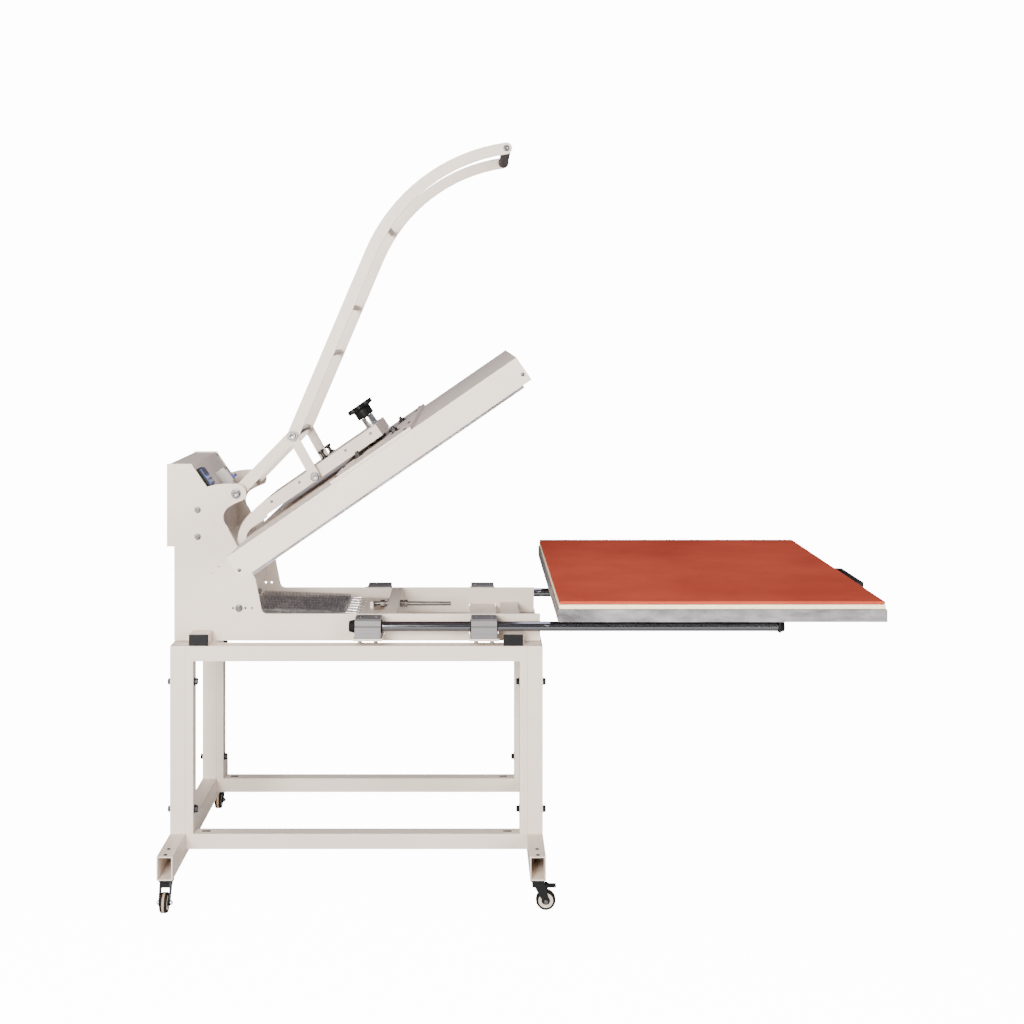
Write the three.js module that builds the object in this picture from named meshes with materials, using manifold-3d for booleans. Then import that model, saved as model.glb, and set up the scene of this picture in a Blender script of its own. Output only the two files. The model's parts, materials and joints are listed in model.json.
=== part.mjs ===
// Large-format clamshell heat press: a swinging heated platen on a sprung carrier, a toggle handle,
// a pull-out lower table on two guide shafts, and a wheeled tube stand.
// Millimetres, +Z up, +X towards the operator. Inside the press group X = 0 is the carrier pivot.
import * as THREE from 'three';
import { mergeVertices } from 'three/addons/utils/BufferGeometryUtils.js';
import Module from 'manifold-3d';

const wasm = await Module();
wasm.setup();

const GAP = 0.3; // left between pieces that touch
const SHEET = 6; // side plates and carrier arms

// Stand
const STAND = { rear: -161, front: 812, halfWidth: 245, top: 630, tube: 40 };
const FOOT = { halfLength: 404, bottom: 80, top: 140, wall: 3 };
const CASTER_Y = 382;
const CASTER_HEIGHT = 80;
const WHEEL_RADIUS = 25;

// Base and tower
const PLATE_Y = 190; // outer faces of the side plates
const PLATE_IN = PLATE_Y - SHEET - GAP;
const BASE = { bottom: 632, top: 703, front: 808, rear: -161.5 };
const BOX = { rear: -181, bottom: 881, top: 1100 };
const CROSS_TUBES = [[-111, -61], [710, 760]];
const BLOCKS = [[323, 390], [625, 692]];
const BLOCK_Y = 235;
const SHAFT_Z = 679.5;
const SHAFT_RADIUS = 12.5;
const BRACKET = { bottom: 649, top: 654.7 };

// Linkage: pivots at rest, with the platen swung open
const OPEN_ANGLE = THREE.MathUtils.degToRad(34.6);
const CARRIER_PIVOT = [0, 814];
const HANDLE_PIVOT = [2.6, 1021];
const LEVER_END = [150.2, 1173];
const LINK_END = [210.7, 1065];
const HANDLE_Y = [165, 173];
const LINK_Y = [174, 182];
const CARRIER_Y = [157, 163];

// Platen, measured in the carrier's frame: u forward, n up from the pivot when closed
const COVER = { u0: 81, u1: 931, n0: -8, n1: 57, halfWidth: 525, sheet: 2.5 };
const HEATER = { u0: 106, u1: 906, n0: -16, n1: 4, halfWidth: 500 };
const SCREW_U = 502;
const SCREW_RADIUS = 10;

// Pull-out table at rest, pulled right out
const TABLE = { x0: 836, x1: 1636, halfWidth: 500, bottom: 746, plateTop: 776, feltTop: 788, top: 796 };
const HANDLE_REACH = 50;
const HANDLE_BOTTOM = 760;
const RAIL = { x0: 850, x1: 1433, bottom: 707, earThickness: 6 };

const CREAM = { color: 0xeee6de, roughness: 0.45, metalness: 0.0 };
const STEEL = { color: 0x9a9a9c, roughness: 0.3, metalness: 0.9 };
const CHROME = { color: 0xc8c8cc, roughness: 0.12, metalness: 1.0 };
const ALUMINIUM = { color: 0xa8a6a8, roughness: 0.5, metalness: 0.8 };
const BLACK = { color: 0x161616, roughness: 0.5, metalness: 0.0 };

const press = new THREE.Group();
press.position.x = -(BOX.rear + TABLE.x1 + GAP + HANDLE_REACH) / 2;

function solidOf(geometry) {
  const bare = geometry.clone();
  for (const name of Object.keys(bare.attributes)) if (name !== 'position') bare.deleteAttribute(name);
  const merged = mergeVertices(bare, 1e-4);
  return new wasm.Manifold(new wasm.Mesh({
    numProp: 3,
    vertProperties: new Float32Array(merged.attributes.position.array),
    triVerts: new Uint32Array(merged.index.array),
  }));
}

function geometryOf(solid) {
  const mesh = solid.getMesh();
  const geometry = new THREE.BufferGeometry();
  geometry.setAttribute('position', new THREE.BufferAttribute(new Float32Array(mesh.vertProperties), 3));
  geometry.setIndex(new THREE.BufferAttribute(new Uint32Array(mesh.triVerts), 1));
  geometry.computeVertexNormals();
  return geometry;
}

function join(...pieces) {
  return geometryOf(pieces.map(solidOf).reduce((sum, piece) => sum.add(piece)));
}

function cut(body, ...tools) {
  return geometryOf(tools.map(solidOf).reduce((rest, tool) => rest.subtract(tool), solidOf(body)));
}

function box(x0, x1, y0, y1, z0, z1) {
  return new THREE.BoxGeometry(x1 - x0, y1 - y0, z1 - z0)
    .translate((x0 + x1) / 2, (y0 + y1) / 2, (z0 + z1) / 2);
}

// A round bar along Y, X or Z
function barY(x, z, radius, y0, y1, sides = 24) {
  return new THREE.CylinderGeometry(radius, radius, y1 - y0, sides).translate(x, (y0 + y1) / 2, z);
}

function barX(y, z, radius, x0, x1, sides = 24) {
  return new THREE.CylinderGeometry(radius, radius, x1 - x0, sides)
    .rotateZ(Math.PI / 2).translate((x0 + x1) / 2, y, z);
}

function barZ(x, y, radius, z0, z1, sides = 24) {
  return new THREE.CylinderGeometry(radius, radius, z1 - z0, sides)
    .rotateX(Math.PI / 2).translate(x, y, (z0 + z1) / 2);
}

// A flat plate: an outline in X and Z, from y0 to y1. The outline may run either way round.
function plate(shape, y0, y1) {
  const { shape: edge, holes } = shape.extractPoints(8);
  const turned = (points, clockwise) => (
    THREE.ShapeUtils.isClockWise(points) === clockwise ? points : points.toReversed());
  const tidy = new THREE.Shape(turned(edge, false));
  tidy.holes = holes.map((hole) => new THREE.Path(turned(hole, true)));
  return new THREE.ExtrudeGeometry(tidy, { depth: y1 - y0, bevelEnabled: false })
    .rotateX(Math.PI / 2).translate(0, y1, 0);
}

function outline(points) {
  return new THREE.Shape(points.map(([x, z]) => new THREE.Vector2(x, z)));
}

function roundHole(x, z, radius, sides = 20) {
  return new THREE.Path(Array.from({ length: sides }, (_, i) => {
    const angle = (-2 * Math.PI * i) / sides;
    return new THREE.Vector2(x + radius * Math.cos(angle), z + radius * Math.sin(angle));
  }));
}

// Both ends of a range on one side: side -1 is near, +1 is far
function onSide(side, [inner, outer]) {
  return side < 0 ? [-outer, -inner] : [inner, outer];
}

function add(parent, name, geometry, finish) {
  const mesh = new THREE.Mesh(geometry, new THREE.MeshStandardMaterial(finish));
  mesh.name = name;
  parent.add(mesh);
}

const SIDES = [['near', -1], ['far', 1]];

// ---- Stand -------------------------------------------------------------------------------------
function endFrame(x0) {
  const { halfWidth, top, tube } = STAND;
  const x1 = x0 + tube;
  const frame = join(
    box(x0, x1, -FOOT.halfLength, FOOT.halfLength, FOOT.bottom, FOOT.top),
    box(x0, x1, -halfWidth, -halfWidth + tube, FOOT.top - 1, top),
    box(x0, x1, halfWidth - tube, halfWidth, FOOT.top - 1, top),
    box(x0, x1, -halfWidth + 1, halfWidth - 1, top - tube, top),
  );
  const bore = box(x0 + FOOT.wall, x1 - FOOT.wall, -FOOT.halfLength - 1, FOOT.halfLength + 1,
    FOOT.bottom + FOOT.wall, FOOT.top - FOOT.wall);
  return cut(frame, bore);
}

function sideFrame(side) {
  const [y0, y1] = onSide(side, [STAND.halfWidth - STAND.tube, STAND.halfWidth]);
  const x0 = STAND.rear + STAND.tube + GAP;
  const x1 = STAND.front - STAND.tube - GAP;
  const shortPost = 20;
  return join(
    box(x0, x1, y0, y1, STAND.top - STAND.tube, STAND.top),
    box(x0, x1, y0, y1, 100, 140),
    box(x0, x0 + shortPost, y0, y1, 139, STAND.top - 1),
    box(x1 - shortPost, x1, y0, y1, 139, STAND.top - 1),
  );
}

add(press, 'end_frame_rear', endFrame(STAND.rear), CREAM);
add(press, 'end_frame_front', endFrame(STAND.front - STAND.tube), CREAM);
for (const [word, side] of SIDES) add(press, `side_frame_${word}`, sideFrame(side), CREAM);

function casterFork() {
  const cheek = new THREE.Shape();
  cheek.moveTo(-16, CASTER_HEIGHT - 6).lineTo(16, CASTER_HEIGHT - 6).lineTo(28, 27);
  cheek.absarc(20, WHEEL_RADIUS, 8, 0.2, -Math.PI, true);
  cheek.closePath();
  const top = barZ(0, 0, 19, CASTER_HEIGHT - 8, CASTER_HEIGHT - GAP);
  return join(top, box(-14, 16, -14, 14, CASTER_HEIGHT - 20, CASTER_HEIGHT - 7),
    plate(cheek, -14, -11.5), plate(cheek, 11.5, 14));
}

function casterWheel() {
  const profile = [[0, -11.2], [4, -11.2], [4, -8], [20, -8], [22, -9.5], [WHEEL_RADIUS, -6]];
  const half = profile.map(([r, y]) => new THREE.Vector2(r, y));
  const other = profile.toReversed().map(([r, y]) => new THREE.Vector2(r, -y));
  return new THREE.LatheGeometry([...half, ...other], 32).translate(20, 0, WHEEL_RADIUS);
}

const CASTERS = [
  ['rear_near', STAND.rear + 20, -CASTER_Y, -Math.PI / 2],
  ['rear_far', STAND.rear + 20, CASTER_Y, -Math.PI / 2],
  ['front_near', STAND.front - 20, -CASTER_Y, 0],
  ['front_far', STAND.front - 20, CASTER_Y, 0],
];
for (const [place, x, y, heading] of CASTERS) {
  const caster = new THREE.Group();
  caster.position.set(x, y, 0);
  caster.rotation.z = heading;
  press.add(caster);
  add(caster, `caster_fork_${place}`, casterFork(), BLACK);
  add(caster, `caster_wheel_${place}`, casterWheel(), BLACK);
  if (place.startsWith('front')) {
    const pedal = join(box(17, 46, -10, 10, 58, 62), barY(22, 61, 5, -10, 10, 16));
    add(caster, `brake_pedal_${place}`, pedal, BLACK);
  }
}

// ---- Base and tower ----------------------------------------------------------------------------
function sidePlateShape() {
  const [ax, az] = HANDLE_PIVOT;
  const ear = 26.5;
  const shape = new THREE.Shape();
  shape.moveTo(BASE.rear, BASE.bottom);
  shape.lineTo(BASE.rear, BOX.bottom).lineTo(BOX.rear, BOX.bottom).lineTo(BOX.rear, BOX.top);
  shape.lineTo(-116.5, BOX.top).lineTo(-75, 1038.6);
  shape.quadraticCurveTo(-50, az + ear, ax - 20, az + ear);
  shape.absarc(ax, az, ear, Math.PI / 2, -0.6, true);
  shape.quadraticCurveTo(-10, 992, -21, 983);
  shape.quadraticCurveTo(-42, 960, -22, 935);
  shape.lineTo(6, 881).lineTo(53.4, 796).lineTo(69, 718);
  shape.quadraticCurveTo(71, BASE.top, 86, BASE.top);
  shape.lineTo(BASE.front, BASE.top).lineTo(BASE.front, BASE.bottom);
  for (const [x0, x1] of CROSS_TUBES.toReversed()) {
    shape.lineTo(x1 + GAP, BASE.bottom).lineTo(x1 + GAP, 660 + GAP);
    shape.lineTo(x0 - GAP, 660 + GAP).lineTo(x0 - GAP, BASE.bottom);
  }
  return shape;
}

function sidePlate(side) {
  const [y0, y1] = onSide(side, [PLATE_Y - SHEET, PLATE_Y]);
  const slots = BLOCKS.map(([x0, x1]) => box(x0 - 5, x1 + 5, y0 - 1, y1 + 1,
    BRACKET.bottom - GAP, BRACKET.top + GAP));
  const springBarHoles = [-6, 10.4, 27, 44].map((x) => [x, 718, 3.2]);
  const stopHoles = [[-43, 828, 2.5], [-60, 811, 2.5]];
  const holes = [...springBarHoles, ...stopHoles]
    .map(([x, z, radius]) => barY(x, z, radius, y0 - 1, y1 + 1, 16));
  return cut(plate(sidePlateShape(), y0, y1), ...slots, ...holes);
}

for (const [word, side] of SIDES) add(press, `side_plate_${word}`, sidePlate(side), CREAM);

function crossTube([x0, x1]) {
  const wall = 3;
  return cut(box(x0, x1, -244, 244, STAND.top + GAP, 660),
    box(x0 + wall, x1 - wall, -250, 250, STAND.top + wall, 660 - wall));
}
add(press, 'base_cross_tube_rear', crossTube(CROSS_TUBES[0]), CREAM);
add(press, 'base_cross_tube_front', crossTube(CROSS_TUBES[1]), CREAM);

// The box is a bent sheet, open to the rear, with a slanted control panel in front
const PANEL_TOP = [-118.5, 1097];
const PANEL_FOOT = [-55, 1006];
const BOX_SHEET = 2.5;
const boxProfile = outline([
  [BOX.rear + 3, BOX.top - 3], PANEL_TOP, PANEL_FOOT, [PANEL_FOOT[0], 885], [BOX.rear + 3, 885],
  [BOX.rear + 3, 885 + BOX_SHEET], [PANEL_FOOT[0] - BOX_SHEET, 885 + BOX_SHEET],
  [PANEL_FOOT[0] - BOX_SHEET, PANEL_FOOT[1] - 1], [PANEL_TOP[0] - 1.5, PANEL_TOP[1] - BOX_SHEET],
  [BOX.rear + 3, PANEL_TOP[1] - BOX_SHEET],
]);
add(press, 'control_box', plate(boxProfile, -PLATE_IN, PLATE_IN), CREAM);
add(press, 'rear_cover', box(BOX.rear, BOX.rear + 2.7, -PLATE_IN, PLATE_IN, 884, 1097), CREAM);

const panel = new THREE.Group();
panel.position.set((PANEL_TOP[0] + PANEL_FOOT[0]) / 2, 0, (PANEL_TOP[1] + PANEL_FOOT[1]) / 2);
panel.rotation.y = Math.atan2(PANEL_TOP[1] - PANEL_FOOT[1], PANEL_FOOT[0] - PANEL_TOP[0]);
press.add(panel);
// In the panel group X runs down the slant and Z stands out of it
add(panel, 'temperature_controller', box(-34, 20, -168, -108, GAP, 9), BLACK);
add(panel, 'circuit_breaker', box(-4, 46, 0, 36, GAP, 30), { color: 0xd8d6d4, roughness: 0.4 });
add(panel, 'breaker_toggle', join(box(28, 36, 8, 28, 35, 43), barY(32, 35, 4.5, 8, 28, 16)),
  { color: 0x2038a0, roughness: 0.4 });

function spacedHoles(xs, ys, radius, z0, z1) {
  return xs.flatMap((x) => ys.map((y) => barZ(x, y, radius, z0, z1, 12)));
}

const BEAM = [396, 427];
const ROD_Z = 693;
add(press, 'spring_beam', cut(box(...BEAM, -PLATE_IN, PLATE_IN, 663, BASE.top),
  barX(0, ROD_Z, 7, BEAM[0] - 1, BEAM[1] + 1)), CREAM);
const SPRING_YS = [-108, -72, -36, 0, 36, 72, 108];
const carriage = join(box(302, 392, -125, 125, 680, 684), box(346, 354, -22, 22, 683, 702));
add(press, 'spring_carriage', cut(carriage, box(358, 386, -45, 45, 670, 690),
  ...spacedHoles([312, 326], SPRING_YS, 3.5, 675, 690)), CREAM);
add(press, 'tension_rod', join(barX(0, ROD_Z, 6, 354.3, 570), barX(0, ROD_Z, 10, 373, 385, 6),
  barX(0, ROD_Z, 10, BEAM[1] + GAP, BEAM[1] + 23, 6)), STEEL);

const BRACKETS = ['bearing_bracket_rear', 'bearing_bracket_front'];
BRACKETS.forEach((name, i) => {
  const [x0, x1] = BLOCKS[i];
  add(press, name, box(x0 - 4, x1 + 4, -275, 275, BRACKET.bottom, BRACKET.top), CREAM);
});

// Bearing block section across the shaft: a wide foot, shoulders, and a raised back
function blockShape() {
  const shape = outline([[-38, 0], [38, 0], [38, 28], [34, 32], [34, 45], [28, 49], [-28, 49],
    [-34, 45], [-34, 32], [-38, 28]]);
  shape.holes.push(roundHole(0, SHAFT_Z - 655, SHAFT_RADIUS + 0.5));
  return shape;
}

function bearingBlock([x0, x1], side) {
  const shaping = { depth: x1 - x0, bevelEnabled: false, curveSegments: 24 };
  return new THREE.ExtrudeGeometry(blockShape(), shaping)
    .rotateX(Math.PI / 2).rotateZ(Math.PI / 2).translate(x0, side * BLOCK_Y, 655);
}
BLOCKS.forEach((span, i) => {
  for (const [word, side] of SIDES) {
    add(press, `bearing_block_${['rear', 'front'][i]}_${word}`, bearingBlock(span, side), ALUMINIUM);
  }
});
add(press, 'handle_pivot_shaft', barY(...HANDLE_PIVOT, 8, -PLATE_IN, PLATE_IN), STEEL);

// ---- Carrier and platen, drawn closed and swung open --------------------------------------------
const carrier = new THREE.Group();
carrier.position.set(CARRIER_PIVOT[0], 0, CARRIER_PIVOT[1]);
carrier.rotation.y = -OPEN_ANGLE;
press.add(carrier);

function carrierArmShape() {
  const shape = new THREE.Shape();
  shape.moveTo(525, 76).lineTo(525, 110).lineTo(150, 110);
  shape.quadraticCurveTo(95, 104, 72, 88).quadraticCurveTo(44, 70, 36, 42);
  shape.quadraticCurveTo(24, 20, -22, 18).lineTo(-70, -95);
  shape.absarc(-53.2, -101.8, 18, 2.75, 0.1, false);
  shape.quadraticCurveTo(-10, -60, 20, -28).lineTo(60, 20).quadraticCurveTo(62, 66, 92, 69.5);
  shape.lineTo(146, 70).lineTo(152, 76);
  shape.holes.push(roundHole(0, 0, 12.8));
  return shape;
}
for (const [word, side] of SIDES) {
  add(carrier, `carrier_arm_${word}`, plate(carrierArmShape(), ...onSide(side, CARRIER_Y)), CREAM);
}
const CHANNEL_Y = CARRIER_Y[0] - GAP;
const channel = join(
  box(150, 525, -CHANNEL_Y, CHANNEL_Y, 104, 110),
  box(519, 525, -CHANNEL_Y, CHANNEL_Y, 76, 105),
  barZ(SCREW_U, 0, 17, 109, 139.5),
);
add(carrier, 'carrier_channel', cut(channel, barZ(SCREW_U, 0, SCREW_RADIUS + 0.5, 90, 150)), CREAM);
add(carrier, 'carrier_pivot_shaft', barY(0, 0, 12.5, -PLATE_IN, PLATE_IN, 32), STEEL);

const { u0, u1, n0, n1, halfWidth, sheet } = COVER;
add(carrier, 'platen_cover', cut(
  box(u0, u1, -halfWidth, halfWidth, n0, n1),
  box(u0 + sheet, u1 - sheet, -halfWidth + sheet, halfWidth - sheet, n0 - 1, n1 - sheet),
  barZ(SCREW_U, 0, SCREW_RADIUS + 1, 40, 60),
), CREAM);
add(carrier, 'platen_insulation', cut(
  box(u0 + 5, u1 - 5, -halfWidth + 5, halfWidth - 5, HEATER.n1 + GAP, HEATER.n1 + 24),
  barZ(SCREW_U, 0, SCREW_RADIUS + 4, 20, 60),
), { color: 0xe8e4d8, roughness: 0.9 });
add(carrier, 'heating_plate', box(HEATER.u0, HEATER.u1, -HEATER.halfWidth, HEATER.halfWidth,
  HEATER.n0, HEATER.n1), ALUMINIUM);
add(carrier, 'platen_saddle', cut(box(389, 623, -520, 520, n1 + GAP, 65),
  barZ(SCREW_U, 0, SCREW_RADIUS + 1, 50, 70)), CREAM);
add(carrier, 'screw_nut', cut(barZ(SCREW_U, 0, 19, 65 + GAP, 84, 6),
  barZ(SCREW_U, 0, SCREW_RADIUS + 0.5, 60, 90)), STEEL);

// Star knob: a lobed disc over a hub, on the pressure screw
function starShape(lobes, outer, inner) {
  const steps = 48;
  const middle = (outer + inner) / 2;
  const swing = (outer - inner) / 2;
  return new THREE.Shape(Array.from({ length: steps }, (_, i) => {
    const angle = (2 * Math.PI * i) / steps;
    const radius = middle + swing * Math.cos(lobes * angle);
    return new THREE.Vector2(radius * Math.cos(angle), radius * Math.sin(angle));
  }));
}
const star = new THREE.ExtrudeGeometry(starShape(6, 41, 33), { depth: 13.5, bevelEnabled: false })
  .translate(SCREW_U, 0, 165);
const knobHub = barZ(SCREW_U, 0, 25, 140, 166);
const pressureScrew = barZ(SCREW_U, 0, SCREW_RADIUS, 61, 141);
add(carrier, 'pressure_knob', join(star, knobHub, pressureScrew), BLACK);

// ---- Handle and links --------------------------------------------------------------------------
// The arm's centre line: pivot to lever end, straight on at a steeper angle, then a forward arc
const ARM = {
  angle: THREE.MathUtils.degToRad(67), straight: 530, bend: 463, heading: THREE.MathUtils.degToRad(8),
};

function armLine() {
  const [bx, bz] = LEVER_END;
  const sx = bx + ARM.straight * Math.cos(ARM.angle);
  const sz = bz + ARM.straight * Math.sin(ARM.angle);
  const points = [HANDLE_PIVOT, LEVER_END];
  const steps = 16;
  for (let i = 0; i <= steps; i += 1) {
    const turn = ARM.angle + ((ARM.heading - ARM.angle) * i) / steps;
    points.push([sx + ARM.bend * (Math.sin(ARM.angle) - Math.sin(turn)),
      sz - ARM.bend * (Math.cos(ARM.angle) - Math.cos(turn))]);
  }
  return points;
}

// A flat bar of even width along a bent line, with round ends
function barShape(line, width) {
  const points = line.map(([x, z]) => new THREE.Vector2(x, z));
  const left = [];
  const right = [];
  const headings = points.slice(1).map((p, i) => p.clone().sub(points[i]).normalize());
  points.forEach((p, i) => {
    const before = headings[Math.max(i - 1, 0)];
    const after = headings[Math.min(i, headings.length - 1)];
    const mean = before.clone().add(after).normalize();
    const offset = new THREE.Vector2(-mean.y, mean.x).multiplyScalar(width / 2 / mean.dot(before));
    left.push(p.clone().add(offset));
    right.unshift(p.clone().sub(offset));
  });
  const cap = (centre, from) => Array.from({ length: 7 }, (_, i) => {
    const angle = from - (Math.PI * (i + 1)) / 8;
    const arm = new THREE.Vector2(Math.cos(angle), Math.sin(angle));
    return arm.multiplyScalar(width / 2).add(centre);
  });
  const endCap = cap(points.at(-1), headings.at(-1).angle() + Math.PI / 2);
  const startCap = cap(points[0], headings[0].angle() - Math.PI / 2);
  return new THREE.Shape([...left, ...endCap, ...right, ...startCap]);
}

const armPoints = armLine();
const armShape = barShape(armPoints, 31);
armShape.holes.push(roundHole(...HANDLE_PIVOT, 8.4), roundHole(...LEVER_END, 8.4));
for (const [word, side] of SIDES) {
  add(press, `handle_arm_${word}`, plate(armShape, ...onSide(side, HANDLE_Y)), CREAM);
}
const HANDLE_IN = HANDLE_Y[0] - GAP;
const [tipX, tipZ] = armPoints.at(-1);
add(press, 'handle_grip', barY(tipX, tipZ, 13.5, -HANDLE_IN, HANDLE_IN, 28),
  { color: 0x5f5858, roughness: 0.9 });
add(press, 'lever_shaft', barY(...LEVER_END, 8, -LINK_Y[1] - 6, LINK_Y[1] + 6), STEEL);
const crossbarReach = 374;
add(press, 'handle_crossbar', barY(
  LEVER_END[0] + crossbarReach * Math.cos(ARM.angle),
  LEVER_END[1] + crossbarReach * Math.sin(ARM.angle),
  8, -HANDLE_IN, HANDLE_IN,
), CREAM);

const linkShape = barShape([LEVER_END, LINK_END], 26);
linkShape.holes.push(roundHole(...LEVER_END, 8.4));
for (const [word, side] of SIDES) {
  const pin = barY(...LINK_END, 7, ...onSide(side, [164, 175]), 20);
  add(press, `link_${word}`, join(plate(linkShape, ...onSide(side, LINK_Y)), pin), CREAM);
}

// ---- Counterbalance springs --------------------------------------------------------------------
const SPRING_BAR = [14, 700];
add(press, 'spring_bar', barY(...SPRING_BAR, 6, -154, 154, 20), STEEL);
const coils = SPRING_YS.map((y) => barX(y, 0, 10, -127, 127, 12).rotateY(0.035).translate(153, 0, 695));
add(press, 'extension_springs', join(box(268, 276, -109, 109, 687, 695), ...coils), STEEL);

// ---- Pull-out table ----------------------------------------------------------------------------
const { x0, x1 } = TABLE;

function slab(inset, z0, z1) {
  const side = TABLE.halfWidth - inset;
  return box(x0 + inset, x1 - inset, -side, side, z0, z1);
}
add(press, 'table_plate', slab(0, TABLE.bottom, TABLE.plateTop), ALUMINIUM);
add(press, 'table_felt', slab(2, TABLE.plateTop + GAP, TABLE.feltTop),
  { color: 0xfff0d8, roughness: 1.0 });
add(press, 'silicone_pad', slab(3, TABLE.feltTop + GAP, TABLE.top),
  { color: 0xbe4632, roughness: 0.7 });
for (const [word, side] of SIDES) {
  const y = side * BLOCK_Y;
  const shaftEnd = RAIL.x1 - RAIL.earThickness - GAP;
  add(press, `guide_shaft_${word}`, barX(y, SHAFT_Z, SHAFT_RADIUS, 306, shaftEnd, 32), CHROME);
  add(press, `table_rail_${word}`, join(
    box(RAIL.x0, RAIL.x1, y - 15, y + 15, RAIL.bottom, TABLE.bottom - GAP),
    box(RAIL.x1 - RAIL.earThickness, RAIL.x1, y - 15, y + 15, SHAFT_Z - 14, RAIL.bottom + 1),
  ), BLACK);
}
const pull = outline([
  [0, -120], [HANDLE_REACH, -112], [HANDLE_REACH, 112], [0, 120],
  [0, 106], [38, 100], [38, -100], [0, -106],
]);
add(press, 'drawer_handle', new THREE.ExtrudeGeometry(pull, { depth: 12, bevelEnabled: false })
  .translate(x1 + GAP, 0, HANDLE_BOTTOM), BLACK);

export default press;
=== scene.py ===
"""Looks for the clamshell heat press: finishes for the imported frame, and the pieces that it leaves out.

Sizes are in millimetres. X is measured from the carrier pivot and Z from the floor; Carrier places use
u (forward) and n (up from the platen) in the carrier's own tilted plane.
"""
import json
import math

import bmesh
import bpy
from mathutils import Matrix, Vector, noise


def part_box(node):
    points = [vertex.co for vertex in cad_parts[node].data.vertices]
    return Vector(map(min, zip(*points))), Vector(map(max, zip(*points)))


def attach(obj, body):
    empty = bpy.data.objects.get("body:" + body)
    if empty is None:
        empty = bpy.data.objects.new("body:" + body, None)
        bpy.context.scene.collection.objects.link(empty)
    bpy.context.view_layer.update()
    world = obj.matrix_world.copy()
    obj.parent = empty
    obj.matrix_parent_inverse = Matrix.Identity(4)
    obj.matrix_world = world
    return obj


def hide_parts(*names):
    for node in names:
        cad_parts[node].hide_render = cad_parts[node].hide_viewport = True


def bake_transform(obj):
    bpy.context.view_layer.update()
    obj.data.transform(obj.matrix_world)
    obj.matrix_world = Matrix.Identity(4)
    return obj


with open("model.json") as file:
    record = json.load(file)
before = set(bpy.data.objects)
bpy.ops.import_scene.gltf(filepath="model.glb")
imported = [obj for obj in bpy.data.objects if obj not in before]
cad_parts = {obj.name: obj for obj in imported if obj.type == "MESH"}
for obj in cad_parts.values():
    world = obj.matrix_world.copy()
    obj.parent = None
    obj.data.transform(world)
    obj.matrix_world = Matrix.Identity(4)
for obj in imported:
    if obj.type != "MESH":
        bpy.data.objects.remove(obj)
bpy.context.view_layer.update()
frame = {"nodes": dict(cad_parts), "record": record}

MM = 0.001
JOINTS = {joint["name"]: joint for joint in frame["record"]["behaviour"]["joints"]}
PIVOT = Vector(JOINTS["platen_lift"]["pos_m"])
OPEN_ANGLE = math.radians(34.6)
SIDES = (("near", -1), ("far", 1))


def at(x, y, z):
    """A point in the row frame."""
    return Vector((PIVOT.x + x * MM, y * MM, z * MM))


def on_carrier(u, y, n):
    """A point given in the carrier's tilted plane, at rest."""
    x = u * math.cos(OPEN_ANGLE) - n * math.sin(OPEN_ANGLE)
    z = u * math.sin(OPEN_ANGLE) + n * math.cos(OPEN_ANGLE)
    return at(x, y, PIVOT.z / MM + z)


CARRIER_UP = Vector((-math.sin(OPEN_ANGLE), 0, math.cos(OPEN_ANGLE)))
UP = Vector((0, 0, 1))
ALONG = Vector((1, 0, 0))
ACROSS = Vector((0, 1, 0))

# ---- Camera, lights and stage ---------------------------------------------------------------------
CAMERA_AXIS_X = 622  # the level camera looks along +Y at this X
CAMERA_DISTANCE = 3919
CAMERA_HEIGHT = 1465


def make_camera():
    data = bpy.data.cameras.new("camera")
    data.lens = 49.5
    data.sensor_width = 36
    data.shift_x = 0.041
    data.shift_y = -0.1816
    camera = bpy.data.objects.new("camera", data)
    camera.location = at(CAMERA_AXIS_X, -CAMERA_DISTANCE, CAMERA_HEIGHT)
    camera.rotation_euler = (math.pi / 2, 0, 0)
    bpy.context.collection.objects.link(camera)
    bpy.context.scene.camera = camera


def make_light(name, place, aim, size, power, tint=(1, 1, 1)):
    data = bpy.data.lights.new(name, "AREA")
    data.size = size
    data.energy = power
    data.color = tint
    light = bpy.data.objects.new(name, data)
    light.location = place
    light.rotation_euler = (Vector(aim) - Vector(place)).to_track_quat("-Z", "Y").to_euler()
    bpy.context.collection.objects.link(light)


BACKDROP = 14.0  # how bright the white backdrop and floor show to the camera


def make_world():
    """A white backdrop for the camera, and a dim cool room for light and reflections."""
    world = bpy.data.worlds.new("studio")
    world.use_nodes = True
    nodes, links = world.node_tree.nodes, world.node_tree.links
    room = nodes["Background"]
    room.inputs["Color"].default_value = (0.80, 0.80, 0.92, 1)
    room.inputs["Strength"].default_value = 0.25
    backdrop = nodes.new("ShaderNodeBackground")
    backdrop.inputs["Color"].default_value = (1.0, 1.0, 1.0, 1)
    backdrop.inputs["Strength"].default_value = BACKDROP
    ray = nodes.new("ShaderNodeLightPath")
    either = nodes.new("ShaderNodeMixShader")
    links.new(ray.outputs["Is Camera Ray"], either.inputs["Fac"])
    links.new(room.outputs["Background"], either.inputs[1])
    links.new(backdrop.outputs["Background"], either.inputs[2])
    links.new(either.outputs["Shader"], nodes["World Output"].inputs["Surface"])
    bpy.context.scene.world = world


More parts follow.
